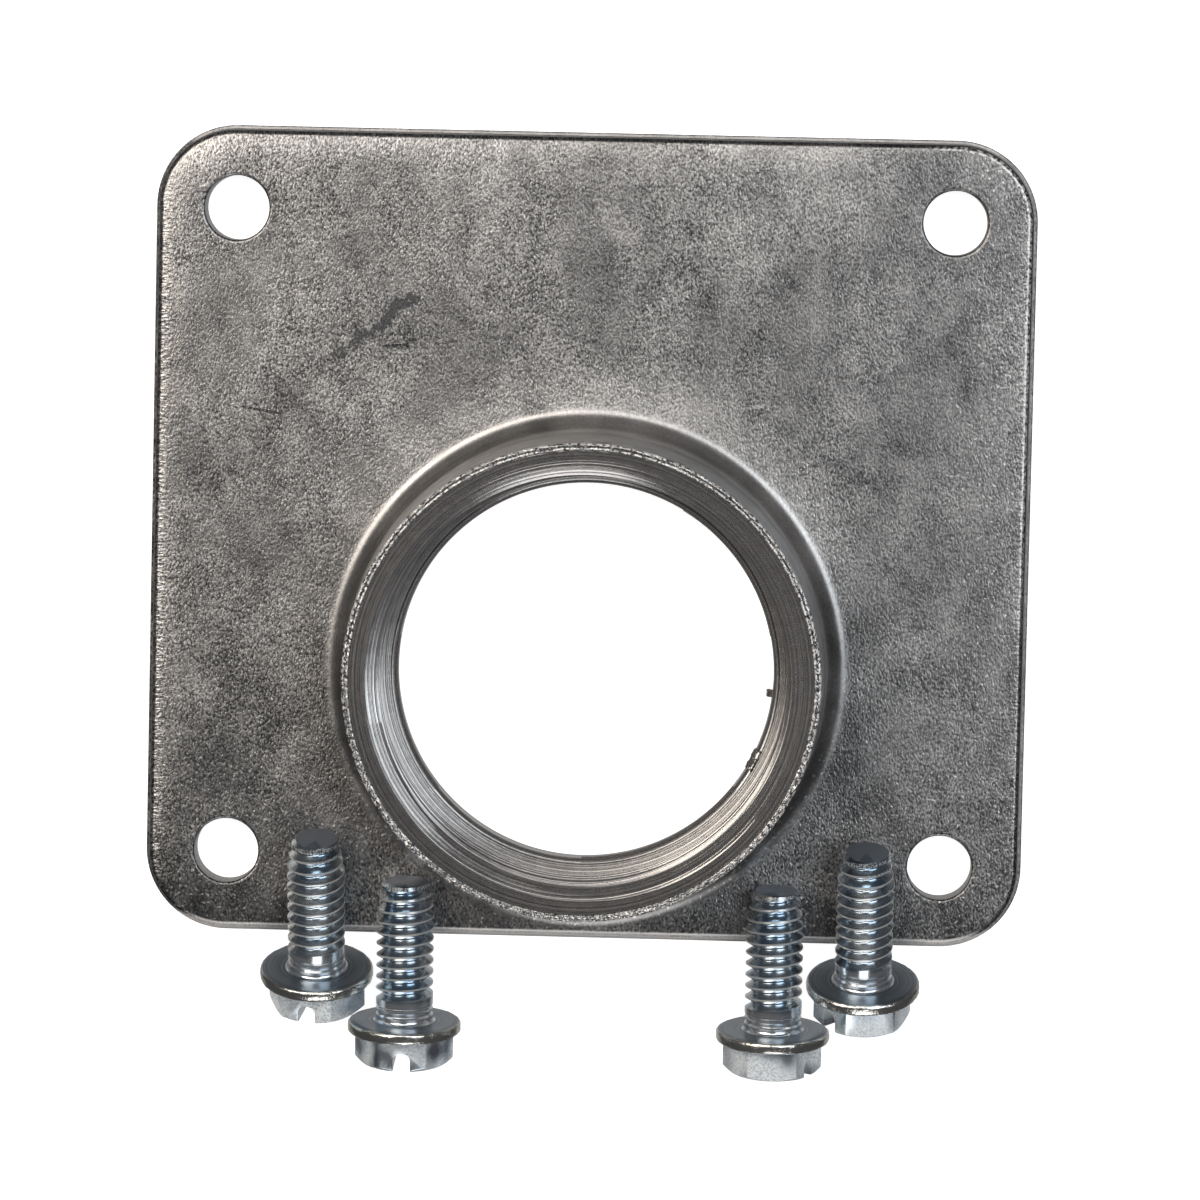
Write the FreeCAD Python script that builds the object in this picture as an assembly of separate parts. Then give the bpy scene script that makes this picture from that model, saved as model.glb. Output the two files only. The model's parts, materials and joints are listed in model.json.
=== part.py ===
# Conduit hub: a die-cast plate with a threaded hub, and its four mounting screws.
# Units are millimetres. The origin is the centre of the bolt pattern on the back face,
# +Z runs out of the hub's mouth and +Y to the plate's edge farthest from the hub.
import FreeCAD
import Part
import math
import os

# Plate
hole_spacing_x = 79.375
hole_spacing_y = 71.4375
hole_diameter = 7.14
hole_edge_round = 0.3
hole_edge_distance = 9.1
corner_radius = 9.0
plate_thickness = 4.5
back_tier_thickness = 1.9
parting_ledge = 0.35
plate_draft_deg = 3.0
front_edge_round = 0.6

# Hub, outwards from the thread: lead-in, rim and drafted wall
hub_rise = 18.0
lead_in_width = 1.12
lead_in_depth = 1.6
rim_width = 0.75
rim_edge_round = 0.3
hub_draft_deg = 2.5
base_fillet = 2.0
hub_to_edge_flat = 0.45

# Bore, inwards from the thread: crests, conduit stop, throat and relief at the back
thread_root_diameter = 48.26
thread_depth = 1.83
stop_width = 1.5
stop_height = 7.5
throat_entry_round = 1.0
back_relief_depth = 4.0
back_relief_width = 1.0

# Screws
screw_diameter = 6.35
screw_length = 15.875
screw_taper_depth = 0.575
screw_taper_length = 3.8
screw_neck_round = 0.5
screw_thread_pitch = 1.27
screw_thread_depth = 0.715
screw_thread_groove_width = 1.12
screw_thread_root_flat = 0.2
screw_thread_start = 1.5
hex_across_flats = 9.525
hex_top_inset = 0.26
hex_top_chamfer_deg = 30.0
head_height = 4.8
washer_overhang = 0.85
washer_thickness = 1.3
washer_rim_round = 0.4
slot_width = 1.9
slot_depth = 2.1

# Where the loose screws lie: heads on the ground below the plate, shanks on the plate's edge
near_pair_reach = 3.4
far_pair_step = 0.9
screw_to_plate = 0.03
screw_to_hub = 0.6
screw_to_screw = 0.35
right_pair_shift = 2.3
near_left_turn_deg = -10.0
far_left_turn_deg = 0.0
far_right_turn_deg = 60.0
near_right_turn_deg = -50.0

# Sizes that follow from the ones above
plate_width = hole_spacing_x + 2 * hole_edge_distance
plate_height = hole_spacing_y + 2 * hole_edge_distance
plate_draft = (plate_thickness - back_tier_thickness) * math.tan(math.radians(plate_draft_deg))
front_edge_inset = parting_ledge + plate_draft + front_edge_round
thread_root_radius = thread_root_diameter / 2
thread_crest_radius = thread_root_radius - thread_depth
throat_radius = thread_crest_radius - stop_width
mouth_radius = thread_root_radius + lead_in_width
rim_radius = mouth_radius + rim_width
hub_height = plate_thickness + hub_rise
hub_base_radius = rim_radius + hub_rise * math.tan(math.radians(hub_draft_deg))
hub_y = hub_base_radius + base_fillet + hub_to_edge_flat + front_edge_inset - plate_height / 2
screw_radius = screw_diameter / 2
hex_corner_radius = hex_across_flats / 2 / math.cos(math.radians(30))
hex_top_radius = hex_across_flats / 2 - hex_top_inset
hex_corner_drop = (hex_corner_radius - hex_top_radius) * math.tan(math.radians(hex_top_chamfer_deg))
washer_radius = hex_corner_radius + washer_overhang
far_pair_reach = near_pair_reach + head_height + far_pair_step
overshoot = 1.0
tolerance = 1e-6


def point(x, z):
    return FreeCAD.Vector(x, 0, z)


def line(start, end):
    return Part.makeLine(point(*start), point(*end))


def arc(start, middle, end):
    return Part.Arc(point(*start), point(*middle), point(*end)).toShape()


def round_middle(centre, radius, angle_deg):
    angle = math.radians(angle_deg)
    return centre[0] + radius * math.cos(angle), centre[1] + radius * math.sin(angle)


def turned(edges):
    # A body of revolution about Z from its half section in the XZ plane.
    face = Part.Face(Part.Wire(edges))
    return face.revolve(FreeCAD.Vector(0, 0, 0), FreeCAD.Vector(0, 0, 1), 360)


def rounded_outline(width, height, radius, z):
    corners = []
    for quarter, (sx, sy) in enumerate([(1, 1), (-1, 1), (-1, -1), (1, -1)]):
        centre = FreeCAD.Vector(sx * (width / 2 - radius), sy * (height / 2 - radius), z)
        points = []
        for angle_deg in (90 * quarter, 90 * quarter + 45, 90 * quarter + 90):
            angle = math.radians(angle_deg)
            points.append(centre + radius * FreeCAD.Vector(math.cos(angle), math.sin(angle), 0))
        corners.append(points)
    edges = []
    for index, points in enumerate(corners):
        following = corners[(index + 1) % len(corners)]
        edges.append(Part.Arc(*points).toShape())
        edges.append(Part.makeLine(points[-1], following[0]))
    return Part.Wire(edges)


def plate():
    back = Part.Face(rounded_outline(plate_width, plate_height, corner_radius, 0))
    back = back.extrude(FreeCAD.Vector(0, 0, back_tier_thickness))
    outlines = []
    for inset, z in [(parting_ledge, back_tier_thickness), (parting_ledge + plate_draft, plate_thickness)]:
        outlines.append(
            rounded_outline(plate_width - 2 * inset, plate_height - 2 * inset, corner_radius - inset, z)
        )
    front = Part.makeLoft(outlines, True, True)
    body = back.fuse(front).removeSplitter()
    rim = [edge for edge in body.Edges if edge.BoundBox.ZMin > plate_thickness - front_edge_round / 2]
    return body.makeFillet(front_edge_round, rim)


def hub_outside():
    side_z = hub_height - rim_edge_round
    top_radius = rim_radius - rim_edge_round
    rim_middle = round_middle((top_radius, side_z), rim_edge_round, 45)
    root_z = plate_thickness / 2
    return turned(
        [
            line((0, root_z), (hub_base_radius, root_z)),
            line((hub_base_radius, root_z), (hub_base_radius, plate_thickness)),
            line((hub_base_radius, plate_thickness), (rim_radius, side_z)),
            arc((rim_radius, side_z), rim_middle, (top_radius, hub_height)),
            line((top_radius, hub_height), (0, hub_height)),
            line((0, hub_height), (0, root_z)),
        ]
    )


def bore():
    lead_in_z = hub_height - lead_in_depth
    thread_z = lead_in_z - thread_depth
    entry_z = stop_height - throat_entry_round
    entry_radius = throat_radius + throat_entry_round
    entry_middle = round_middle((entry_radius, entry_z), throat_entry_round, 135)
    back_radius = throat_radius + back_relief_width
    low = -overshoot
    high = hub_height + overshoot
    return turned(
        [
            line((0, low), (back_radius, low)),
            line((back_radius, low), (back_radius, 0)),
            line((back_radius, 0), (throat_radius, back_relief_depth)),
            line((throat_radius, back_relief_depth), (throat_radius, entry_z)),
            arc((throat_radius, entry_z), entry_middle, (entry_radius, stop_height)),
            line((entry_radius, stop_height), (thread_crest_radius, stop_height)),
            line((thread_crest_radius, stop_height), (thread_crest_radius, thread_z)),
            line((thread_crest_radius, thread_z), (thread_root_radius, lead_in_z)),
            line((thread_root_radius, lead_in_z), (mouth_radius, hub_height)),
            line((mouth_radius, hub_height), (mouth_radius, high)),
            line((mouth_radius, high), (0, high)),
            line((0, high), (0, low)),
        ]
    )


def screw_hole():
    wall_radius = hole_diameter / 2
    edge_radius = wall_radius + hole_edge_round
    wall_z = plate_thickness - hole_edge_round
    edge_middle = round_middle((edge_radius, wall_z), hole_edge_round, 135)
    low = -overshoot
    high = plate_thickness + overshoot
    return turned(
        [
            line((0, low), (wall_radius, low)),
            line((wall_radius, low), (wall_radius, wall_z)),
            arc((wall_radius, wall_z), edge_middle, (edge_radius, plate_thickness)),
            line((edge_radius, plate_thickness), (edge_radius, high)),
            line((edge_radius, high), (0, high)),
            line((0, high), (0, low)),
        ]
    )


def is_level_circle(edge):
    return edge.Curve.TypeId == "Part::GeomCircle" and abs(edge.Curve.Axis.z) > 1 - tolerance


def hub_casting():
    outside = hub_outside()
    outside.translate(FreeCAD.Vector(0, hub_y, 0))
    body = plate().fuse(outside).removeSplitter()
    base_point = Part.Vertex(hub_base_radius, hub_y, plate_thickness)
    circles = [edge for edge in body.Edges if is_level_circle(edge)]
    base_edges = [edge for edge in circles if edge.distToShape(base_point)[0] < tolerance]
    body = body.makeFillet(base_fillet, base_edges)
    opening = bore()
    opening.translate(FreeCAD.Vector(0, hub_y, 0))
    body = body.cut(opening)
    for sx in (-1, 1):
        for sy in (-1, 1):
            hole = screw_hole()
            hole.translate(FreeCAD.Vector(sx * hole_spacing_x / 2, sy * hole_spacing_y / 2, 0))
            body = body.cut(hole)
    return body.Solids[0]


def shank_and_washer():
    # The bearing face of the washer is at Z = 0 and the tip points along +Z.
    tip_radius = screw_radius - screw_taper_depth
    neck_radius = screw_radius + screw_neck_round
    neck_middle = round_middle((neck_radius, screw_neck_round), screw_neck_round, 225)
    face_radius = washer_radius - washer_rim_round
    back_z = -washer_thickness
    low_z = washer_rim_round - washer_thickness
    high_z = -washer_rim_round
    low_middle = round_middle((face_radius, low_z), washer_rim_round, -45)
    high_middle = round_middle((face_radius, high_z), washer_rim_round, 45)
    taper_z = screw_length - screw_taper_length
    return turned(
        [
            line((0, back_z), (face_radius, back_z)),
            arc((face_radius, back_z), low_middle, (washer_radius, low_z)),
            line((washer_radius, low_z), (washer_radius, high_z)),
            arc((washer_radius, high_z), high_middle, (face_radius, 0)),
            line((face_radius, 0), (neck_radius, 0)),
            arc((neck_radius, 0), neck_middle, (screw_radius, screw_neck_round)),
            line((screw_radius, screw_neck_round), (screw_radius, taper_z)),
            line((screw_radius, taper_z), (tip_radius, screw_length)),
            line((tip_radius, screw_length), (0, screw_length)),
            line((0, screw_length), (0, back_z)),
        ]
    )


def hex_head():
    corners = []
    for step in range(7):
        angle = math.radians(60 * step)
        x = hex_corner_radius * math.cos(angle)
        y = hex_corner_radius * math.sin(angle)
        corners.append(FreeCAD.Vector(x, y, -head_height))
    prism = Part.Face(Part.makePolygon(corners))
    prism = prism.extrude(FreeCAD.Vector(0, 0, head_height - washer_thickness / 2))
    cone_radius = hex_corner_radius + overshoot
    cone_z = (cone_radius - hex_top_radius) * math.tan(math.radians(hex_top_chamfer_deg)) - head_height
    corner_cone = turned(
        [
            line((0, -head_height), (hex_top_radius, -head_height)),
            line((hex_top_radius, -head_height), (cone_radius, cone_z)),
            line((cone_radius, cone_z), (cone_radius, 0)),
            line((cone_radius, 0), (0, 0)),
            line((0, 0), (0, -head_height)),
        ]
    )
    corner = FreeCAD.Vector(-slot_width / 2, -washer_radius, -head_height - overshoot)
    slot = Part.makeBox(slot_width, 2 * washer_radius, slot_depth + overshoot, corner)
    return prism.common(corner_cone).cut(slot)


def screw_thread(groove_z):
    # The groove between the right-hand thread's turns, wound from the screw's +X side past the tip.
    # It crosses that side at the given height, or whole turns above or below it.
    first_z = screw_thread_start + (groove_z - screw_thread_start) % screw_thread_pitch
    turns = math.ceil((screw_length + screw_thread_groove_width / 2 - first_z) / screw_thread_pitch)
    root_radius = screw_radius - screw_thread_depth
    open_radius = screw_radius + screw_thread_depth / 4
    corners = [
        (root_radius, screw_thread_root_flat / 2),
        (root_radius, -screw_thread_root_flat / 2),
        (screw_radius, -screw_thread_groove_width / 2),
        (open_radius, -screw_thread_groove_width / 2),
        (open_radius, screw_thread_groove_width / 2),
        (screw_radius, screw_thread_groove_width / 2),
    ]
    section = Part.makePolygon([point(*corner) for corner in corners + corners[:1]])
    helix = Part.makeLongHelix(screw_thread_pitch, turns * screw_thread_pitch, screw_radius)
    groove = Part.Wire(helix).makePipeShell([section], True, True)
    groove.translate(FreeCAD.Vector(0, 0, first_z))
    return groove


def screw(groove_z):
    blank = shank_and_washer().fuse(hex_head()).removeSplitter()
    return blank.cut(screw_thread(groove_z)).Solids[0]


def hex_reach(turn_deg):
    # How far the turned hexagon reaches straight down from the screw's axis.
    reaches = [math.sin(math.radians(turn_deg + 60 * step)) for step in range(6)]
    return hex_corner_radius * max(reaches)


def axis_height(lean, turn_deg):
    # Height of the bearing face's centre when the head rests on the ground.
    along = washer_thickness - washer_rim_round
    across = washer_radius - washer_rim_round
    on_washer = along * math.sin(lean) + across * math.cos(lean) + washer_rim_round
    corner_height = head_height - hex_corner_drop
    on_hex_corner = corner_height * math.sin(lean) + hex_reach(turn_deg) * math.cos(lean)
    on_hex_top = head_height * math.sin(lean) + hex_top_radius * math.cos(lean)
    return max(on_washer, on_hex_corner, on_hex_top)


def lean_on_edge(reach, turn_deg):
    # The lean at which the shank comes to rest on the plate's rounded front edge.
    low = 0.0
    high = math.radians(60)
    for step in range(60):
        lean = (low + high) / 2
        drop = axis_height(lean, turn_deg) - plate_thickness + front_edge_round
        distance = (reach + front_edge_inset) * math.sin(lean) + drop * math.cos(lean)
        if distance < screw_radius + front_edge_round + screw_to_plate:
            low = lean
        else:
            high = lean
    return high


def laid_screw(x, reach, turn_deg):
    # The screw is threaded so that a crest, half a turn from the groove, rests on the plate's edge.
    lean = lean_on_edge(reach, turn_deg)
    height = axis_height(lean, turn_deg)
    drop = height - plate_thickness + front_edge_round
    rest_z = (reach + front_edge_inset) * math.cos(lean) - drop * math.sin(lean)
    turns_below = 0.5 + (90 - turn_deg) / 360
    shape = screw(rest_z - turns_below * screw_thread_pitch)
    shape.rotate(FreeCAD.Vector(0, 0, 0), FreeCAD.Vector(0, 0, 1), turn_deg)
    shape.rotate(FreeCAD.Vector(0, 0, 0), FreeCAD.Vector(1, 0, 0), math.degrees(lean) - 90)
    shape.translate(FreeCAD.Vector(x, -plate_height / 2 - reach, height))
    return shape


def mounting_screws():
    far_lean = lean_on_edge(far_pair_reach, far_left_turn_deg)
    tip_y = screw_length * math.cos(far_lean) - plate_height / 2 - far_pair_reach
    to_hub = hub_base_radius + screw_radius + screw_to_hub
    beside_hub = math.sqrt(max(to_hub**2 - (hub_y - tip_y) ** 2, 0))
    far_x = max(beside_hub, washer_radius + screw_to_screw)
    near_x = far_x + washer_radius + screw_radius + screw_to_screw
    return Part.makeCompound(
        [
            laid_screw(-near_x, near_pair_reach, near_left_turn_deg),
            laid_screw(-far_x, far_pair_reach, far_left_turn_deg),
            laid_screw(far_x + right_pair_shift, far_pair_reach, far_right_turn_deg),
            laid_screw(near_x + right_pair_shift, near_pair_reach, near_right_turn_deg),
        ]
    )


os.makedirs("parts", exist_ok=True)
hub_casting().exportStep("parts/hub_casting.step")
mounting_screws().exportStep("parts/mounting_screws.step")
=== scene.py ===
import json
import math
import bmesh
import bpy
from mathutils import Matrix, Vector

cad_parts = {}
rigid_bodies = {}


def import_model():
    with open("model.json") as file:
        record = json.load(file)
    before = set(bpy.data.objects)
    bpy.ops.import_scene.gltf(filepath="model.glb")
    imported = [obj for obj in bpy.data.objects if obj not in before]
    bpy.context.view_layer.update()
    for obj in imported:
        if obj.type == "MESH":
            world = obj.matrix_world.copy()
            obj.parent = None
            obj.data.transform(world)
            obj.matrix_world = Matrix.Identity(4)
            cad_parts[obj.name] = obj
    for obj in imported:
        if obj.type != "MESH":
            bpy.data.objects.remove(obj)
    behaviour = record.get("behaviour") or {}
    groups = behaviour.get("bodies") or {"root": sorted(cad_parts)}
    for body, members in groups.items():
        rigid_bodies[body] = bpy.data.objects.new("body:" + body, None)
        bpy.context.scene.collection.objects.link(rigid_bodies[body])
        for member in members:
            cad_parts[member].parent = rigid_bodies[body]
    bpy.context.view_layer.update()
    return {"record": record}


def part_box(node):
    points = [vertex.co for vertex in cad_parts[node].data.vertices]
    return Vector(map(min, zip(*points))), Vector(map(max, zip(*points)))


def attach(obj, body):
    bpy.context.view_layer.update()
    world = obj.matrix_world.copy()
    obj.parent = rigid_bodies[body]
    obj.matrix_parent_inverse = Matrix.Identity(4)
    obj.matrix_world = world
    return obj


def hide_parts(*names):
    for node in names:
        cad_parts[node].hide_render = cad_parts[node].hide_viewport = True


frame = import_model()


# Hub casting. One zinc die casting: a plate with rounded corners and four screw holes, and a round hub
# that stands on it off centre. The two halves of the die meet at the ledge round the plate's edge, and
# the hub's mouth is machined and tapped for conduit afterwards.
mm = 0.001
mounts = {mount["name"]: mount for mount in frame["record"]["mounts"]}
casting_low, casting_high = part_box("hub_casting")
plate_width = casting_high.x - casting_low.x
plate_height = casting_high.y - casting_low.y
plate_thickness = 4.5 * mm
corner_radius = 9.0 * mm
back_tier = 1.9 * mm
parting_ledge = 0.35 * mm
plate_draft_angle = math.radians(3)
plate_draft = (plate_thickness - back_tier) * math.tan(plate_draft_angle)
front_edge_round = 0.6 * mm
edge_flat = 0.12 * mm
corner_segments = 24
side_cuts = 79

hole_half_x = mounts["mounting_holes"]["dims"]["spacing_x_mm"] * mm / 2
hole_half_y = mounts["mounting_holes"]["dims"]["spacing_y_mm"] * mm / 2
hole_radius = mounts["mounting_holes"]["dims"]["hole_r_mm"] * mm
hole_edge_round = 0.3 * mm
hole_steps = 72

hub_place = Vector((mounts["conduit_thread"]["pos_m"][0], mounts["conduit_thread"]["pos_m"][1], 0))
hub_height = casting_high.z
rim_radius = 26.0 * mm
rim_round = 0.3 * mm
rim_groove = 0.07 * mm
mouth_radius = 25.25 * mm
hub_draft_deg = 2.5
hub_draft = math.radians(hub_draft_deg)
base_fillet = 2.0 * mm
crest_radius = mounts["conduit_thread"]["dims"]["r_mm"] * mm
root_radius = 24.13 * mm
lead_in_low = hub_height - 1.6 * mm
stop_height = 7.5 * mm
throat_radius = mounts["throat"]["dims"]["r_mm"] * mm
throat_round = 1.0 * mm
back_relief_depth = 4.0 * mm
back_relief_width = 1.0 * mm
conduit_pitch = 2.209 * mm
hub_steps = 480

merge_gap = 0.002 * mm
level_gap = 0.01 * mm
smooth_angle = math.radians(35)


def select_none():
    # Leaves edit mode and deselects everything.
    if bpy.context.mode != "OBJECT":
        bpy.ops.object.mode_set(mode="OBJECT")
    bpy.ops.object.select_all(action="DESELECT")


def work_on(piece):
    # Makes this piece the only selected one, in object mode.
    select_none()
    piece.select_set(True)
    bpy.context.view_layer.objects.active = piece


def pick(kind, test):
    # Selects the vertices, edges or faces that pass the test, and nothing else.
    bpy.ops.mesh.select_mode(type=kind)
    bpy.ops.mesh.select_all(action="DESELECT")
    mesh = bmesh.from_edit_mesh(bpy.context.object.data)
    for part in {"VERT": mesh.verts, "EDGE": mesh.edges, "FACE": mesh.faces}[kind]:
        if test(part):
            part.select = True
    mesh.select_flush_mode()
    bmesh.update_edit_mesh(bpy.context.object.data)


def arc(centre, radius, start_deg, end_deg, steps):
    # Points of a round in a half section, as (radius, height).
    points = []
    for step in range(steps + 1):
        angle = math.radians(start_deg + (end_deg - start_deg) * step / steps)
        points.append((centre[0] + radius * math.cos(angle), centre[1] + radius * math.sin(angle)))
    return points


def run(start, end, steps):
    # Points along a straight stretch of a half section, without its start.
    shares = [(step + 1) / steps for step in range(steps)]
    return [(start[0] + (end[0] - start[0]) * s, start[1] + (end[1] - start[1]) * s) for s in shares]


def draw_line(line, centre):
    # Draws a half section vertex by vertex in edit mode, and leaves all of it selected.
    points = [centre + Vector((radius, 0, height)) for radius, height in line]
    bpy.ops.mesh.select_mode(type="VERT")
    bpy.ops.mesh.primitive_plane_add(size=mm, location=points[0])
    bpy.ops.mesh.merge(type="CENTER")
    for start, end in zip(points, points[1:]):
        bpy.ops.mesh.extrude_region_move(TRANSFORM_OT_translate={"value": end - start})
    bpy.ops.mesh.select_linked()


def turn_line(line, centre, steps):
    # Spins a half section round the upright axis through the centre.
    draw_line(line, centre)
    bpy.ops.mesh.spin(steps=steps, angle=math.tau, center=centre, axis=(0, 0, 1))
    bpy.ops.mesh.select_linked()
    bpy.ops.mesh.remove_doubles(threshold=merge_gap)


def new_piece(name):
    # An object with an empty mesh, left in edit mode.
    select_none()
    bpy.ops.mesh.primitive_plane_add(size=mm)
    piece = bpy.context.object
    piece.name = name
    bpy.ops.object.mode_set(mode="EDIT")
    bpy.ops.mesh.delete(type="VERT")
    return piece


def thread_cutter(section, centre, low, pitch, turns, steps):
    # A closed coil of a groove's section, which rises to the right as a right-hand thread does.
    coil = new_piece("thread_cutter")
    draw_line(section, Vector((0, 0, low)))
    pick("VERT", lambda vert: len(vert.link_edges) == 1)
    bpy.ops.mesh.edge_face_add()
    work_on(coil)
    coil.location = centre
    bpy.ops.object.modifier_add(type="SCREW")
    winding = coil.modifiers[-1]
    winding.screw_offset = pitch
    winding.iterations = turns
    winding.steps = steps
    winding.render_steps = steps
    bpy.ops.object.modifier_apply(modifier=winding.name)
    bpy.ops.object.transform_apply(location=True, rotation=False, scale=False)
    bpy.ops.object.mode_set(mode="EDIT")
    pick("EDGE", lambda edge: edge.is_boundary)
    bpy.ops.mesh.fill_holes(sides=0)
    bpy.ops.mesh.select_all(action="SELECT")
    bpy.ops.mesh.normals_make_consistent(inside=False)
    work_on(coil)
    return coil


def combine(piece, tool, operation):
    # Cuts the tool out of the piece, joins the two, or keeps what they share. The tool is then taken
    # away, and the slivers and idle points that are left are cleaned up.
    work_on(piece)
    bpy.ops.object.modifier_add(type="BOOLEAN")
    step = piece.modifiers[-1]
    step.operation = operation
    step.object = tool
    step.solver = "EXACT"
    bpy.ops.object.modifier_apply(modifier=step.name)
    bpy.data.objects.remove(tool)
    bpy.ops.object.mode_set(mode="EDIT")
    bpy.ops.mesh.select_all(action="SELECT")
    bpy.ops.mesh.remove_doubles(threshold=merge_gap)
    bpy.ops.mesh.dissolve_degenerate(threshold=merge_gap / 2)
    pick("VERT", lambda vert: len(vert.link_edges) == 2)
    bpy.ops.mesh.dissolve_verts()
    work_on(piece)


# The plate's edge is inset and raised from the outline: back tier, ledge, drafted front tier and round.
select_none()
bpy.ops.mesh.primitive_plane_add(size=1)
casting = bpy.context.object
casting.name = "die_cast_hub"
casting.scale = (plate_width, plate_height, 1)
bpy.ops.object.transform_apply(location=False, rotation=False, scale=True)
bpy.ops.object.mode_set(mode="EDIT")
bpy.ops.mesh.select_all(action="SELECT")
bpy.ops.mesh.bevel(affect="VERTICES", offset=corner_radius, segments=corner_segments)
pick("EDGE", lambda edge: edge.calc_length() > corner_radius)
bpy.ops.mesh.subdivide(number_cuts=side_cuts)
bpy.ops.mesh.select_all(action="SELECT")
bpy.ops.mesh.extrude_region_move(TRANSFORM_OT_translate={"value": (0, 0, back_tier)})
pick("FACE", lambda face: abs(face.normal.z) > 0.9 and face.calc_center_median().z > back_tier / 2)
bpy.ops.mesh.inset(thickness=parting_ledge)
bpy.ops.mesh.inset(thickness=plate_draft, depth=plate_thickness - front_edge_round - back_tier)
round_line = arc((0, 0), front_edge_round, 0, 90, 5)
for start, end in zip(round_line, round_line[1:]):
    bpy.ops.mesh.inset(thickness=start[0] - end[0], depth=end[1] - start[1])
bpy.ops.mesh.inset(thickness=edge_flat)
pick("FACE", lambda face: len(face.verts) > 4)
bpy.ops.mesh.delete(type="ONLY_FACE")

# The hub's half section runs from the plate up the fillet and wall, over the rim and down the bore.
hub_base_radius = rim_radius + (hub_height - plate_thickness) * math.tan(hub_draft)
fillet_radius = hub_base_radius - base_fillet * math.tan(hub_draft) + base_fillet / math.cos(hub_draft)
fillet_end_deg = 180 + hub_draft_deg
rim_side = (rim_radius, hub_height - rim_round)
hub_line = [(fillet_radius + edge_flat, plate_thickness)]
hub_line += arc((fillet_radius, plate_thickness + base_fillet), base_fillet, 270, fillet_end_deg, 10)
hub_line += run(hub_line[-1], rim_side, 6)
hub_line += arc((rim_radius - rim_round, hub_height - rim_round), rim_round, 0, 90, 4)[1:]
hub_line += [
    (mouth_radius + 0.32 * mm, hub_height - rim_groove / 2),
    (mouth_radius + 0.24 * mm, hub_height - rim_groove),
    (mouth_radius + 0.14 * mm, hub_height - rim_groove / 3),
    (mouth_radius + 0.06 * mm, hub_height - rim_groove / 4),
    (mouth_radius, hub_height - rim_groove),
]
hub_line += run(hub_line[-1], (root_radius, lead_in_low), 4)
hub_line += run(hub_line[-1], (crest_radius, lead_in_low - root_radius + crest_radius), 4)
hub_line += run(hub_line[-1], (crest_radius, stop_height), 6)
hub_line += arc((throat_radius + throat_round, stop_height - throat_round), throat_round, 90, 180, 8)
hub_line += run(hub_line[-1], (throat_radius, back_relief_depth), 2)
hub_line += run(hub_line[-1], (throat_radius + back_relief_width, 0), 2)
hub_line += [(throat_radius + back_relief_width + edge_flat, 0)]
turn_line(hub_line, hub_place, hub_steps)

hole_round_centre = (hole_radius + hole_edge_round, plate_thickness - hole_edge_round)
hole_line = [(hole_radius + hole_edge_round + edge_flat, plate_thickness)]
hole_line += arc(hole_round_centre, hole_edge_round, 90, 180, 4)
hole_line += run(hole_line[-1], (hole_radius, 0), 3)
hole_line += [(hole_radius + edge_flat, 0)]
for side_x in (-1, 1):
    for side_y in (-1, 1):
        turn_line(hole_line, Vector((side_x * hole_half_x, side_y * hole_half_y, 0)), hole_steps)


# The plate's front and back faces are filled in between its edge, the hub and the holes.
def open_at(edge, level):
    # Tells whether an edge has a face on one side only and lies at this height.
    return edge.is_boundary and all(abs(vert.co.z - level) < level_gap for vert in edge.verts)


for level in (plate_thickness, 0):
    pick("EDGE", lambda edge: open_at(edge, level))
    bpy.ops.mesh.fill(use_beauty=True)
bpy.ops.mesh.select_all(action="SELECT")
bpy.ops.mesh.remove_doubles(threshold=merge_gap)
bpy.ops.mesh.normals_make_consistent(inside=False)

# The conduit thread is tapped from the mouth to a little above the stop.
groove_half = 1.05 * mm
groove_flat = 0.05 * mm
groove_reach = 0.4 * mm
root_clearance = 0.03 * mm
thread_low = stop_height + 2.6 * mm
thread_turns = 6
thread_section = [
    (root_radius - root_clearance, groove_flat),
    (root_radius - root_clearance, -groove_flat),
    (crest_radius, -groove_half),
    (crest_radius - groove_reach, -groove_half),
    (crest_radius - groove_reach, groove_half),
    (crest_radius, groove_half),
]
tap = thread_cutter(thread_section, hub_place, thread_low, conduit_pitch, thread_turns, hub_steps)
combine(casting, tap, "DIFFERENCE")


# The stop ring below the thread was cast in lengths. Three of them stand proud and end in blunt steps, a
# curl of flash is left on its right side and a crumb of flash hangs into the throat.
def around_hub(point):
    # A point's angle round the hub's axis in degrees, and its distance from the axis.
    away = point - hub_place
    return math.degrees(math.atan2(away.y, away.x)) % 360, math.hypot(away.x, away.y)


def pick_stop_ring(start_deg, end_deg, low, high):
    # Selects the faces of the throat's round between two angles and two heights.
    def on_ring(face):
        angle, distance = around_hub(face.calc_center_median())
        level = face.calc_center_median().z
        return start_deg < angle < end_deg and distance < crest_radius - 0.1 * mm and low < level < high

    pick("FACE", on_ring)


proud_lengths = [(170, 220, 0.1 * mm), (270, 323, 0.16 * mm), (12, 60, 0.08 * mm)]
curl_rise = 0.25 * mm
curl_roughness = 0.22 * mm
crumb_reaches = [0.3 * mm, 0.35 * mm]
crumb_roughness = 0.15 * mm
work_on(casting)
bpy.ops.object.mode_set(mode="EDIT")
for start_deg, end_deg, rise in proud_lengths:
    pick_stop_ring(start_deg, end_deg, stop_height - 0.75 * mm, stop_height - 0.2 * mm)
    bpy.ops.mesh.extrude_region_shrink_fatten(TRANSFORM_OT_shrink_fatten={"value": rise})
pick_stop_ring(330, 337, stop_height - 0.8 * mm, stop_height - 0.1 * mm)
bpy.ops.mesh.extrude_region_shrink_fatten(TRANSFORM_OT_shrink_fatten={"value": curl_rise})
bpy.ops.transform.vertex_random(offset=curl_roughness, uniform=0.4, seed=5)
pick_stop_ring(353.6, 355.4, stop_height - throat_round, stop_height - 0.6 * mm)
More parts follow.
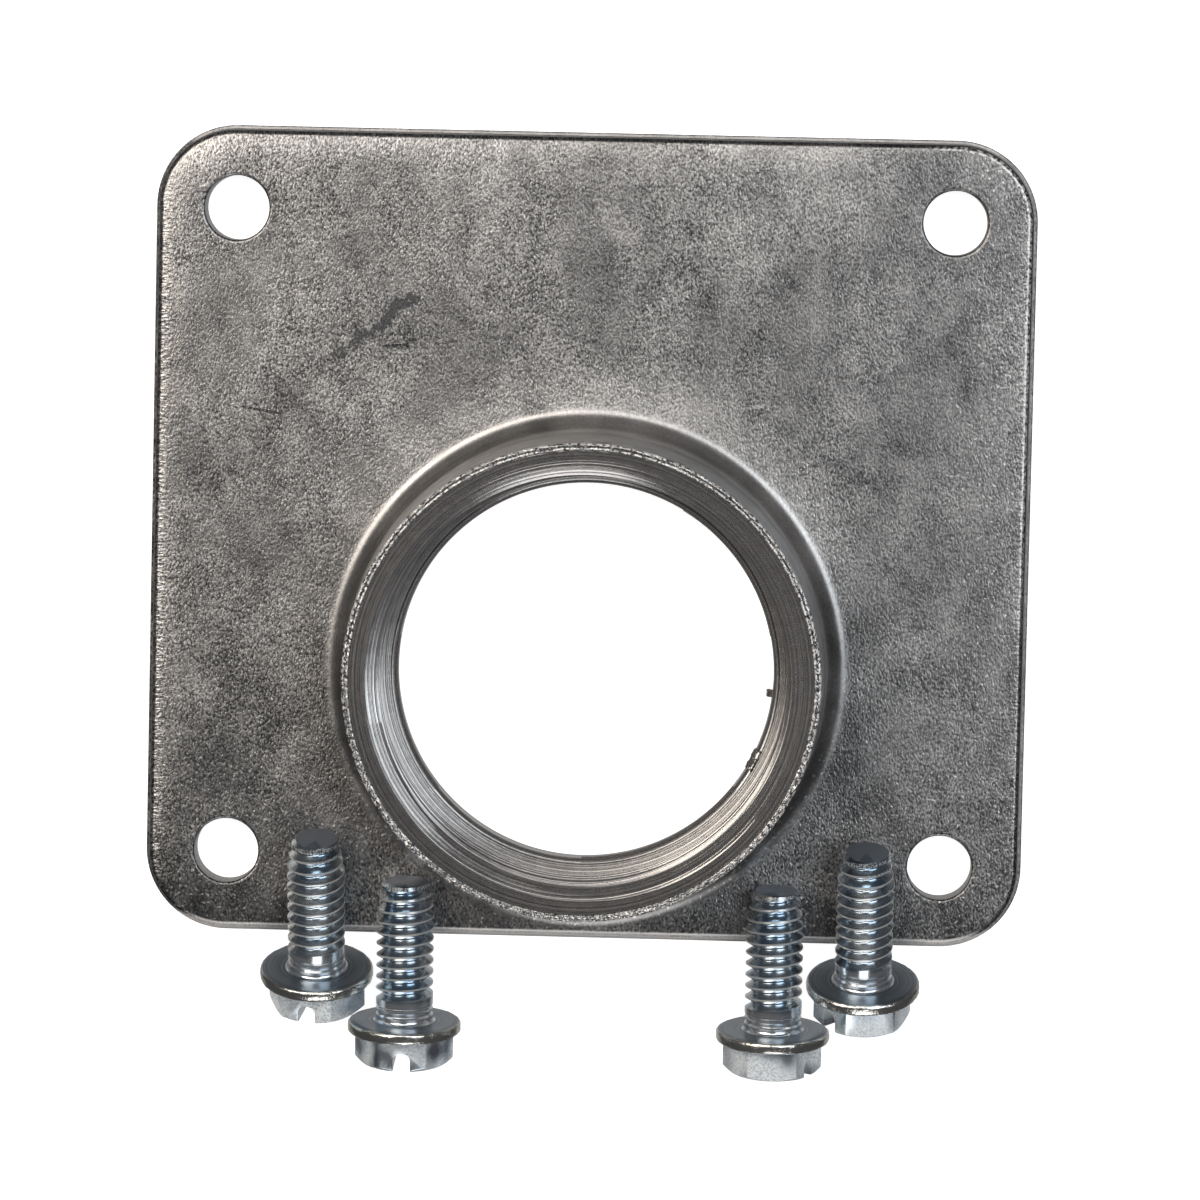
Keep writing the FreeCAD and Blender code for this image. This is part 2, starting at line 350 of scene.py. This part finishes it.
for reach in crumb_reaches:
    bpy.ops.mesh.extrude_region_shrink_fatten(TRANSFORM_OT_shrink_fatten={"value": reach})
    bpy.ops.transform.vertex_random(offset=crumb_roughness, seed=9)


# The rim was left rough by the trim tool, and its edges are beaded.
rim_drop = 0.07 * mm
rim_roughness = 0.06 * mm


def on_rim(vert):
    # Tells whether a vertex is on the rim, outside the mouth's edge.
    distance = around_hub(vert.co)[1]
    return vert.co.z > hub_height - 0.35 * mm and mouth_radius - 0.01 * mm < distance


pick("VERT", on_rim)
bpy.ops.transform.translate(value=(0, 0, -rim_drop))
bpy.ops.transform.vertex_random(offset=rim_roughness, uniform=0.2, seed=2)
work_on(casting)
bpy.ops.object.shade_smooth_by_angle(angle=smooth_angle)


class Wire:
    # One socket of a material's nodes. Operators add Math nodes, and node() adds any other kind.
    def __init__(self, tree, socket=None):
        self.tree = tree
        self.socket = socket

    def node(self, kind, settings, sockets, output=0):
        made = self.tree.nodes.new("ShaderNode" + kind)
        for name, value in settings.items():
            setattr(made, name, value)
        for name, value in sockets.items():
            if isinstance(value, Wire):
                self.tree.links.new(value.socket, made.inputs[name])
            else:
                made.inputs[name].default_value = value
        return Wire(self.tree, made.outputs[output])

    def maths(self, operation, first, second=0.0):
        return self.node("Math", {"operation": operation}, {0: first, 1: second})

    def __add__(self, other):
        return self.maths("ADD", self, other)

    def __radd__(self, other):
        return self.maths("ADD", other, self)

    def __sub__(self, other):
        return self.maths("SUBTRACT", self, other)

    def __rsub__(self, other):
        return self.maths("SUBTRACT", other, self)

    def __mul__(self, other):
        return self.maths("MULTIPLY", self, other)

    def __rmul__(self, other):
        return self.maths("MULTIPLY", other, self)

    def __pow__(self, other):
        return self.maths("POWER", self, other)

    def __abs__(self):
        return self.maths("ABSOLUTE", self)

    def above(self, low, high):
        # 0 up to the low value, 1 from the high value on, and smooth between them.
        limits = {"Value": self, "From Min": low, "From Max": high}
        return self.node("MapRange", {"interpolation_type": "SMOOTHSTEP"}, limits)

    def below(self, low, high):
        # 1 up to the low value, 0 from the high value on, and smooth between them.
        return 1 - self.above(low, high)

    def axis(self, name):
        # One of the three values of a place.
        return self.node("SeparateXYZ", {}, {"Vector": self}, name)

    def noise(self, grain, stretch, detail):
        # Soft noise whose grains are about this size in metres, drawn out along the stretched axes.
        shares = tuple(1 / (grain * part) for part in stretch)
        spread = self.node("Mapping", {}, {"Vector": self, "Scale": shares})
        return self.node("TexNoise", {}, {"Vector": spread, "Scale": 1.0, "Detail": detail})

    def mark(self, centre, turn_deg, length, width):
        # 1 in the middle of a level oval, fading to 0 at its edge.
        turn = (0, 0, math.radians(turn_deg))
        halves = (length / 2, width / 2, 1)
        oval = {"Vector": self, "Location": centre, "Rotation": turn, "Scale": halves}
        local = self.node("Mapping", {"vector_type": "TEXTURE"}, oval)
        return local.node("VectorMath", {"operation": "LENGTH"}, {0: local}, "Value").below(0.3, 1)

    def tint(self, first, second):
        # A colour that goes from the first to the second as this value goes from 0 to 1.
        return self.node("Mix", {"data_type": "RGBA"}, {0: self, 6: first, 7: second}, 2)


def new_finish(name):
    # A material, with its shader and a wire to start from.
    material = bpy.data.materials.new(name)
    material.use_nodes = True
    return material, material.node_tree.nodes["Principled BSDF"], Wire(material.node_tree)


# As-cast zinc: a grey skin with fine bright grain, stippled light at its sides and smudged by handling,
# with painted highlights and painted shade at its edges, round the hub and in the bore.
cast_zinc, cast_shader, start = new_finish("cast_zinc")
place = start.node("TexCoord", {}, {}, "Object")
x, y, z = [place.axis(name) for name in "XYZ"]

# Where the casting's faces and edges are, by the distance from the hub's axis and from the plate's outline.
hub_distance = ((x - hub_place.x) ** 2 + (y - hub_place.y) ** 2) ** 0.5
past_side = start.maths("MAXIMUM", abs(x) - (plate_width / 2 - corner_radius), 0.0)
past_end = start.maths("MAXIMUM", abs(y) - (plate_height / 2 - corner_radius), 0.0)
inset = corner_radius - (past_side**2 + past_end**2) ** 0.5
plate_front = z.above(plate_thickness - 0.3 * mm, plate_thickness - 0.1 * mm)
plate_front = plate_front * z.below(plate_thickness + 0.2 * mm, plate_thickness + 1.5 * mm)
plate_side = inset.below(0.7 * mm, 0.95 * mm)
# Painted highlight: the trimmed parting line is painted bright along the ends and on the right side.
parting_line_highlight = inset.above(0.08 * mm, 0.14 * mm) * inset.below(0.3 * mm, 0.4 * mm)
at_ends = abs(y).above(plate_height / 2 - 2.5 * mm, plate_height / 2 - mm)
parting_line_highlight = parting_line_highlight * start.maths("MAXIMUM", at_ends, 0.6 * x.above(0, mm))
# Painted light: the plate's lower edge is painted pale, as if lit from the floor.
lower_end = y.below(1.3 * mm - plate_height / 2, 2.5 * mm - plate_height / 2)
lower_edge_light = inset.below(mm, 1.2 * mm) * lower_end
in_bore = hub_distance.below(mouth_radius - 0.1 * mm, mouth_radius + 0.05 * mm)
on_rim_top = z.above(hub_height - 0.5 * mm, hub_height - 0.3 * mm) * (1 - in_bore)
# Painted highlight: the rim's beaded edges are painted bright, less so below the hub.
rim_bead_highlight = on_rim_top * abs(hub_distance - (mouth_radius + rim_radius) / 2).above(0.08 * mm, 0.2 * mm)
rim_bead_highlight = rim_bead_highlight * (1 - 0.5 * y.below(hub_place.y - 24 * mm, hub_place.y - 12 * mm))
near_hub = hub_distance.below(28.2 * mm, 29.6 * mm) * (1 - in_bore) * (1 - on_rim_top)
hub_wall = near_hub * z.above(plate_thickness + 0.8 * mm, plate_thickness + 2.2 * mm)
upper_wall = near_hub * z.above(8 * mm, 12 * mm)

# Grain, cast beads, a frosted band with a painted glow at the top, painted highlights on the right edge,
# painted glints as bright specks, smudges and scratches.
fine_grain = place.noise(0.26 * mm, (0.8, 1.3, 1), 1.0)
coarse_grain = place.noise(0.5 * mm, (1, 1.5, 1), 2.0)
beads = place.noise(0.4 * mm, (1, 1, 1), 0.0).above(0.38, 0.62)
# Painted highlight: a beaded bright line on the round of the plate's right edge.
edge_bead_highlight = inset.above(0.6 * mm, 0.75 * mm) * inset.below(1.05 * mm, 1.25 * mm) * beads
edge_bead_highlight = edge_bead_highlight * x.above(34 * mm, 42 * mm) * y.above(-20 * mm, 15 * mm)
# Painted glints: sparse bright specks low on the plate and near its right edge.
glint_zone = start.maths("MAXIMUM", y.below(-36 * mm, -8 * mm), x.above(36 * mm, 45 * mm)) * plate_front
speck_glints = place.noise(0.45 * mm, (1, 1, 1), 0.0).above(0.71, 0.76) * glint_zone
nick = place.mark((18.4 * mm, 15 * mm, plate_thickness), 12, 2.4 * mm, 0.6 * mm) * plate_front
mottle = place.noise(3.0 * mm, (1, 1.3, 1), 5.0)
cloud = place.noise(14 * mm, (1, 1, 1), 4.0)
grainy = place.noise(8 * mm, (1, 1.4, 1), 5.0).above(0.36, 0.62) * (1 - 0.35 * x.above(10 * mm, 42 * mm))
sides = (plate_width / 2 - abs(x)).below(0.8 * mm, 2.6 * mm) * plate_front * (1 - 0.6 * x.above(0, mm))
# A frosted band along the top edge, painted lighter, and a painted glow on the top-left corner.
frost_and_glow = place.mark((-1 * mm, 40.4 * mm, plate_thickness), 1.3, 60 * mm, 3.6 * mm)
frost_and_glow = frost_and_glow + place.mark((-45 * mm, 40 * mm, plate_thickness), 50, 18 * mm, 7 * mm)
frost_and_glow = frost_and_glow * plate_front
ticks = place.noise(0.35 * mm, (2.2, 0.8, 1), 2.0)
smudge_grain = place.noise(1.8 * mm, (1, 1, 1), 4.0).above(0.35, 0.6)
smudges = place.mark((-20.9 * mm, 25.9 * mm, plate_thickness), 15, 5 * mm, 2.5 * mm)
smudges = smudges + 1.2 * place.mark((-25.5 * mm, 22 * mm, plate_thickness), 38, 14 * mm, 3 * mm)
smudges = smudges + 0.5 * place.mark((11 * mm, 29 * mm, plate_thickness), -40, 12 * mm, 5 * mm)
smudges = (smudges * smudge_grain * plate_front).above(0, 1)
scratches = place.mark((-36.5 * mm, 13.4 * mm, plate_thickness), -9, 7 * mm, 0.3 * mm)
scratches = scratches + place.mark((-21.9 * mm, 20.9 * mm, plate_thickness), 5, 4 * mm, 0.25 * mm)
scratches = scratches * plate_front

# Turned rings in the bore.
ring_place = hub_distance * (1 / (0.25 * mm)) + z * (1 / (1.5 * mm))
rings = start.node("TexNoise", {"noise_dimensions": "1D"}, {"W": ring_place, "Scale": 1.0})
bore_patches = place.noise(1.2 * mm, (1, 1, 1), 3.0)

# All of these lighten or darken the skin between a dark and a pale grey.
# Painted highlight on the plate above the hub.
above_hub_highlight = hub_distance.below(29 * mm, 36 * mm) * y.above(hub_place.y, hub_place.y + 24 * mm)
above_hub_highlight = above_hub_highlight * plate_front
# Painted light: the plate below the hub is painted a little lighter.
below_hub_light = hub_distance.below(30 * mm, 38 * mm) * y.below(hub_place.y - 22 * mm, hub_place.y - 8 * mm)
shade = 0.37 + 0.45 * (cloud - 0.5) + 0.45 * (mottle - 0.5)
# Painted shade: the plate is painted darker towards its bottom.
shade = shade - 0.2 * plate_front * y.below(-44 * mm, -22 * mm)
shade = shade + (0.8 + 1.3 * grainy) * (fine_grain - 0.5) * (1 - 0.7 * near_hub)
shade = shade + 0.12 * grainy - 0.06
shade = shade - 0.5 * smudges - 0.35 * scratches + 0.9 * sides * ticks.above(0.48, 0.62)
# The frosted band with its painted glow, a painted highlight above the hub and painted light below it.
shade = shade + 0.12 * frost_and_glow + 0.32 * above_hub_highlight + 0.12 * below_hub_light
# Painted light on the hub's wall near the fillet, and painted shade on its upper part.
shade = shade + 0.22 * hub_wall - 0.6 * upper_wall
# Painted shade on the plate's edge round, a painted highlight along the parting line and painted light on
# the lower edge.
shade = shade - 0.2 * plate_side * (1 - parting_line_highlight) + 0.7 * parting_line_highlight + 0.8 * lower_edge_light
# Painted highlight on the rim's beaded edges, with the rest of the rim top painted a little darker.
shade = shade + rim_bead_highlight * (0.35 + 0.9 * beads) - 0.15 * on_rim_top
# Painted highlights on the right edge, painted glints as bright specks, and a nick.
shade = shade + edge_bead_highlight + 0.8 * (speck_glints + nick)
bore_shade = 0.7 + 0.3 * (bore_patches - 0.5) + 2.4 * (rings - 0.5)
# Painted shade deep in the bore, above the throat.
bore_shade = bore_shade - 0.35 * z.below(5.4 * mm, 6.8 * mm)
shade = shade * (1 - in_bore) + bore_shade * in_bore
dark_skin = (0.09, 0.09, 0.092, 1)
pale_skin = (0.67, 0.645, 0.625, 1)
skin_colour = shade.tint(dark_skin, pale_skin)
start.tree.links.new(skin_colour.socket, cast_shader.inputs["Base Color"])

polish = 0.33 + 0.25 * (mottle - 0.5) + 0.1 * (fine_grain - 0.5) + 0.15 * smudges
polish = polish + 0.04 * near_hub - 0.1 * on_rim_top
polish = polish * (1 - in_bore) + (0.2 + 0.15 * (bore_patches - 0.5)) * in_bore
start.tree.links.new(polish.socket, cast_shader.inputs["Roughness"])
metal = 0.92 - 0.35 * hub_wall + 0.2 * upper_wall - 0.06 * in_bore
metal = metal - 0.55 * rim_bead_highlight * beads - 0.5 * parting_line_highlight
metal = metal - 0.5 * edge_bead_highlight - 0.65 * lower_edge_light
start.tree.links.new(metal.socket, cast_shader.inputs["Metallic"])

# The plate rolls off a little towards its edges, and rises into the fillet round the hub.
skin_depth = 0.4 * mm
edge_roll_width = 4.0 * mm
hub_roll_start = 29.5 * mm
hub_roll_width = 2.4 * mm
edge_roll = start.maths("MAXIMUM", edge_roll_width - inset, 0.0) ** 2 * (25 / skin_depth)
edge_roll = edge_roll * (1 - 0.85 * x.above(20 * mm, 44 * mm))
hub_roll = start.maths("MAXIMUM", hub_roll_start - hub_distance, 0.0)
hub_roll = start.maths("MINIMUM", hub_roll, hub_roll_width) ** 2 * (95 / skin_depth)
skin = 0.12 * fine_grain + 0.06 * coarse_grain + 0.24 * sides * ticks - 0.3 * scratches
skin = skin * (1 - 0.9 * near_hub) * (1 - 0.7 * plate_side) + 0.8 * on_rim_top * coarse_grain
skin = skin * (1 - in_bore) + (0.2 * rings + 0.01 * fine_grain) * in_bore
skin = skin + (hub_roll - edge_roll) * z.above(2 * mm, 3 * mm)
relief = start.node("Bump", {}, {"Strength": 1.0, "Distance": skin_depth, "Height": skin})
start.tree.links.new(relief.socket, cast_shader.inputs["Normal"])
casting.data.materials.clear()
casting.data.materials.append(cast_zinc)

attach(casting, "root")
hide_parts("hub_casting")


# Mounting screws. Four thread-forming steel screws, cold headed with a slotted hexagon on a washer face,
# thread rolled and zinc plated. They lie loose, heads on the ground and shanks on the plate's edge.
screw_radius = 3.175 * mm
screw_length = 15.875 * mm
tip_radius = 2.6 * mm
tip_round = 0.15 * mm
taper_length = 3.8 * mm
neck_round = 0.5 * mm
neck_groove = 0.2 * mm
screw_pitch = 1.27 * mm
thread_root = 2.46 * mm
washer_radius = 6.349 * mm
washer_thickness = 1.3 * mm
washer_round = 0.4 * mm
head_height = 4.8 * mm
hex_corner = 5.499 * mm
hex_top = 4.5025 * mm
slot_width = 1.9 * mm
slot_depth = 2.1 * mm
slot_round = 0.8 * mm
slot_length = 2 * washer_radius
hex_bevel = 0.1 * mm
hex_turn = math.radians(30)
corner_cone_angle = math.radians(30)
screw_steps = 96

face_radius = washer_radius - washer_round
blank_line = [(0, -washer_thickness)]
blank_line += arc((face_radius, washer_round - washer_thickness), washer_round, -90, 0, 4)
blank_line += arc((face_radius, -washer_round), washer_round, 0, 90, 4)
blank_line += run(blank_line[-1], (screw_radius + neck_round, 0), 4)
blank_line += arc((screw_radius + neck_round, neck_round), neck_round, 270, 180, 5)[1:]
blank_line += [
    (screw_radius, 0.75 * mm),
    (screw_radius - neck_groove, 0.95 * mm),
    (screw_radius - neck_groove, 1.15 * mm),
    (screw_radius - neck_groove / 4, 1.35 * mm),
    (screw_radius, 1.45 * mm),
    (screw_radius - neck_groove, 1.6 * mm),
    (screw_radius - neck_groove, 1.75 * mm),
    (screw_radius, 1.9 * mm),
    (screw_radius, screw_length - taper_length),
    (tip_radius, screw_length - tip_round),
    (tip_radius - tip_round, screw_length),
    (0, screw_length),
]
valley_half = 0.56 * mm
valley_reach = 0.5 * mm
tip_deeper = 0.28 * mm
valley_section = [
    (thread_root + 0.06 * mm, 0.13 * mm),
    (thread_root, 0.05 * mm),
    (thread_root, -0.05 * mm),
    (thread_root + 0.06 * mm, -0.13 * mm),
    (screw_radius, -valley_half),
    (screw_radius + valley_reach, -valley_half),
    (screw_radius + valley_reach, valley_half),
    (screw_radius, valley_half),
]
tip_section = [(radius - tip_deeper, height) for radius, height in valley_section]

# The hexagon is upset on the washer, its outer corners are rounded off by a cone, and the slot is sawn.
select_none()
hex_height = head_height - washer_thickness / 2
hex_middle = (0, 0, hex_height / 2 - head_height)
bpy.ops.mesh.primitive_cylinder_add(vertices=6, radius=hex_corner, depth=hex_height, location=hex_middle)
hexagon = bpy.context.object
hexagon.rotation_euler = (0, 0, hex_turn)
bpy.ops.object.transform_apply(location=True, rotation=True, scale=True)
own_origin = Vector((0, 0, 0))
cone_radius = hex_corner + 1.0 * mm
cone_level = (cone_radius - hex_top) * math.tan(corner_cone_angle) - head_height
cone_line = [
    (0, -head_height),
    (hex_top, -head_height),
    (cone_radius, cone_level),
    (cone_radius, mm),
    (0, mm),
]
cone = new_piece("corner_cone")
turn_line(cone_line, own_origin, screw_steps)
bpy.ops.mesh.normals_make_consistent(inside=False)
combine(hexagon, cone, "INTERSECT")
select_none()
bpy.ops.mesh.primitive_cube_add(size=1, location=(0, 0, -head_height))
slot = bpy.context.object
slot.scale = (slot_width, slot_length, 2 * slot_depth)
bpy.ops.object.transform_apply(location=True, rotation=True, scale=True)
bpy.ops.object.mode_set(mode="EDIT")
slot_floor = slot_depth - head_height - level_gap


def along_slot_floor(edge):
    # Tells whether an edge runs along the slot at its floor.
    return edge.calc_length() > slot_length - mm and edge.verts[0].co.z > slot_floor


pick("EDGE", along_slot_floor)
bpy.ops.mesh.bevel(offset=slot_round, segments=5)
combine(hexagon, slot, "DIFFERENCE")
bpy.ops.object.modifier_add(type="BEVEL")
hexagon.modifiers[-1].width = hex_bevel
hexagon.modifiers[-1].segments = 2
bpy.ops.object.modifier_apply(modifier=hexagon.modifiers[-1].name)

# Zinc plate with a clear blue passivation: glossy, tinted unevenly, matt and speckled on some flats, with a
# painted highlight on the neck.
zinc_plate, zinc_shader, start = new_finish("zinc_plate")
own = start.node("Attribute", {"attribute_name": "own_place"}, {}, "Vector")
object_place = start.node("TexCoord", {}, {}, "Object")
across = (own.axis("X") ** 2 + own.axis("Y") ** 2) ** 0.5
along = own.axis("Z")
tone = object_place.noise(3.0 * mm, (1, 1, 1), 2.0)
speckle = own.noise(0.22 * mm, (1, 1, 1), 2.0)
on_face = along.above(-0.1 * mm, -0.05 * mm) * along.below(0.02 * mm, 0.06 * mm)
on_washer_rim = across.above(face_radius, face_radius + 0.2 * mm) * along.above(-1.4 * mm, -1.3 * mm)
on_hex = along.below(-1.45 * mm, -1.3 * mm)
on_tip = along.above(screw_length - 0.05 * mm, screw_length - 0.02 * mm)
taper_start = screw_length - taper_length
taper_slope = (screw_radius - tip_radius) / taper_length
taper_drop = start.maths("MAXIMUM", along - taper_start, 0.0) * taper_slope
crest = (across + taper_drop).above(screw_radius - 0.06 * mm, screw_radius - 0.02 * mm)
near_tip = along.above(screw_length - 1.8 * mm, screw_length - 1.2 * mm)
# Painted highlight: the neck beside the washer is painted paler.
neck_highlight = across.below(screw_radius + 0.3 * mm, screw_radius + 0.5 * mm)
neck_highlight = neck_highlight * along.above(0.05 * mm, 0.2 * mm) * along.below(2.3 * mm, 2.8 * mm)
crest = crest * along.above(2.7 * mm, 3.3 * mm) * (1 - near_tip * speckle.below(0.45, 0.6))
crest = crest * (1 - on_tip)
matt = on_hex * object_place.noise(4.0 * mm, (1, 1, 1), 1.0).above(0.32, 0.66)
face_ring_width = 0.25 * mm
face_ring_sockets = {"W": across * (1 / face_ring_width), "Scale": 1.0}
face_rings = start.node("TexNoise", {"noise_dimensions": "1D"}, face_ring_sockets)
plating = tone.above(0.3, 0.7).tint((0.5, 0.61, 0.71, 1), (0.75, 0.79, 0.82, 1))
face_colour = face_rings.above(0.35, 0.65).tint((0.22, 0.26, 0.3, 1), (0.34, 0.38, 0.42, 1))
plating = on_face.tint(plating, face_colour)
# The painted highlight on the neck.
plating = (0.6 * neck_highlight).tint(plating, (0.85, 0.86, 0.87, 1))
matt_colour = speckle.above(0.3, 0.6).tint((0.48, 0.51, 0.54, 1), (0.88, 0.91, 0.92, 1))
plating = matt.tint(plating, matt_colour)
plating = on_washer_rim.tint(plating, (0.74, 0.73, 0.68, 1))
plating = (0.7 * crest).tint(plating, (0.86, 0.84, 0.79, 1))
plating = on_tip.tint(plating, (0.3, 0.34, 0.4, 1))
start.tree.links.new(plating.socket, zinc_shader.inputs["Base Color"])
gloss = 0.15 + 0.12 * tone + 0.12 * on_face + 0.3 * matt + 0.25 * on_tip + 0.1 * crest
start.tree.links.new(gloss.socket, zinc_shader.inputs["Roughness"])
metal = 1 - 0.7 * matt - 0.3 * crest - 0.08 * neck_highlight
start.tree.links.new(metal.socket, zinc_shader.inputs["Metallic"])
grit = 0.12 * speckle + 0.35 * on_face * face_rings + 0.5 * matt * speckle
grit = grit + 0.9 * on_washer_rim * speckle
relief = start.node("Bump", {}, {"Strength": 0.5, "Distance": 0.08 * mm, "Height": grit})
start.tree.links.new(relief.socket, zinc_shader.inputs["Normal"])

# Where each screw lies: the middle of its washer's face in millimetres, how far its tip leans up, its
# own turn, and the height where its groove starts. A crest of each thread rests on the plate's edge.
screw_places = [
    ("screw_near_left", (-29.1945, -48.21875, 6.3067), 20.153, -10, 2.3946),
    ("screw_far_left", (-19.3202, -53.91875, 6.4156), 7.3906, 0, 2.4755),
    ("screw_far_right", (21.6202, -53.91875, 6.4156), 7.3906, 60, 2.6872),
    ("screw_near_right", (31.4945, -48.21875, 6.3067), 20.153, -50, 2.2535),
]
groove_turns = 12
groove_steps = 60
tip_groove_start = 8 * screw_pitch
tip_groove_turns = 4
washer_shrink = 0.99
washer_nicks = 0.05 * mm
for number, (name, middle, lean_deg, turn_deg, groove_start) in enumerate(screw_places):
    screw = new_piece(name)
    turn_line(blank_line, own_origin, screw_steps)
    bpy.ops.mesh.normals_make_consistent(inside=False)
    low = groove_start * mm
    groove = thread_cutter(valley_section, own_origin, low, screw_pitch, groove_turns, groove_steps)
    combine(screw, groove, "DIFFERENCE")
    low = low + tip_groove_start
    groove = thread_cutter(tip_section, own_origin, low, screw_pitch, tip_groove_turns, groove_steps)
    combine(screw, groove, "DIFFERENCE")
    work_on(hexagon)
    bpy.ops.object.duplicate(linked=False)
    combine(screw, bpy.context.object, "UNION")
    bpy.ops.object.mode_set(mode="EDIT")
    pick("VERT", lambda vert: vert.co.xy.length > face_radius + 0.1 * mm)
    bpy.ops.transform.resize(value=(washer_shrink, washer_shrink, 1), center_override=own_origin)
    bpy.ops.transform.vertex_random(offset=washer_nicks, uniform=0.3, seed=number + 1)
    work_on(screw)
    bpy.ops.object.shade_smooth_by_angle(angle=smooth_angle)
    own_place = screw.data.attributes.new("own_place", "FLOAT_VECTOR", "POINT")
    for vert, value in zip(screw.data.vertices, own_place.data):
        value.vector = vert.co
    screw.data.materials.clear()
    screw.data.materials.append(zinc_plate)
    screw.rotation_mode = "ZYX"
    screw.rotation_euler = (math.radians(lean_deg - 90), 0, math.radians(turn_deg))
    screw.location = Vector(middle) * mm
    bpy.ops.object.transform_apply(location=True, rotation=True, scale=True)
    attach(screw, "root")
    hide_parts("mounting_screws")
bpy.data.objects.remove(hexagon)


# Floor. A plain pale studio surface that the hub and its screws lie on. It is a matt white board that
# glows a little, so that it stays evenly pale.
floor_width = 6
floor_glow = 0.85
select_none()
bpy.ops.mesh.primitive_plane_add(size=floor_width)
floor = bpy.context.object
floor.name = "studio_floor"
studio_white, floor_shader = new_finish("studio_white")[:2]
floor_shader.inputs["Base Color"].default_value = (0.9, 0.9, 0.9, 1)
floor_shader.inputs["Roughness"].default_value = 0.7
floor_shader.inputs["Emission Color"].default_value = (1, 1, 1, 1)
floor_shader.inputs["Emission Strength"].default_value = floor_glow
floor.data.materials.append(studio_white)
floor.visible_glossy = False


# Light. A dim room with large soft boxes: a warm one to the upper left, a cool one to the right, one
# beyond the top edge and a low one in front of the screws. Each has a name, place, width, power and colour.
world = bpy.data.worlds.new("studio")
world.use_nodes = True
sky = Wire(world.node_tree)
below = sky.node("TexCoord", {}, {}, "Generated").axis("Z").below(-0.97, -0.55)
room = below.tint((0.06, 0.06, 0.063, 1), (0.5, 0.49, 0.48, 1))
world.node_tree.links.new(room.socket, world.node_tree.nodes["Background"].inputs["Color"])
bpy.context.scene.world = world
soft_boxes = [
    ("warm_box", (-0.42, 0.3, 0.75), 0.56, 4.1, (1.0, 0.94, 0.86)),
    ("cool_box", (0.42, 0.15, 0.75), 0.52, 2.5, (0.88, 0.94, 1.0)),
    ("top_box", (0.0, 0.55, 0.9), 0.5, 1.1, (1.0, 0.98, 0.96)),
    ("front_box", (0.06, -0.75, 0.42), 0.45, 1.6, (1.0, 1.0, 1.0)),
]
for name, spot, width, power, colour in soft_boxes:
    bpy.ops.object.light_add(type="AREA", location=spot)
    box = bpy.context.object
    box.name = name
    box.data.size = width
    box.data.energy = power
    box.data.color = colour
    box.rotation_euler = (-box.location).to_track_quat("-Z", "Y").to_euler()
bpy.context.scene.view_settings.view_transform = "Standard"


# Camera. It looks down on the plate with a long lens, and stands a little towards its upper right.
camera_place = (20.93 * mm, 46.28 * mm, 700.34 * mm)
camera_turn_deg = (-4.36, 1.61, 1.246)
bpy.ops.object.camera_add(location=camera_place)
camera = bpy.context.object
camera.rotation_mode = "ZXY"
camera.rotation_euler = [math.radians(angle) for angle in camera_turn_deg]
camera.data.lens = 189
camera.data.sensor_width = 36
bpy.context.scene.camera = camera
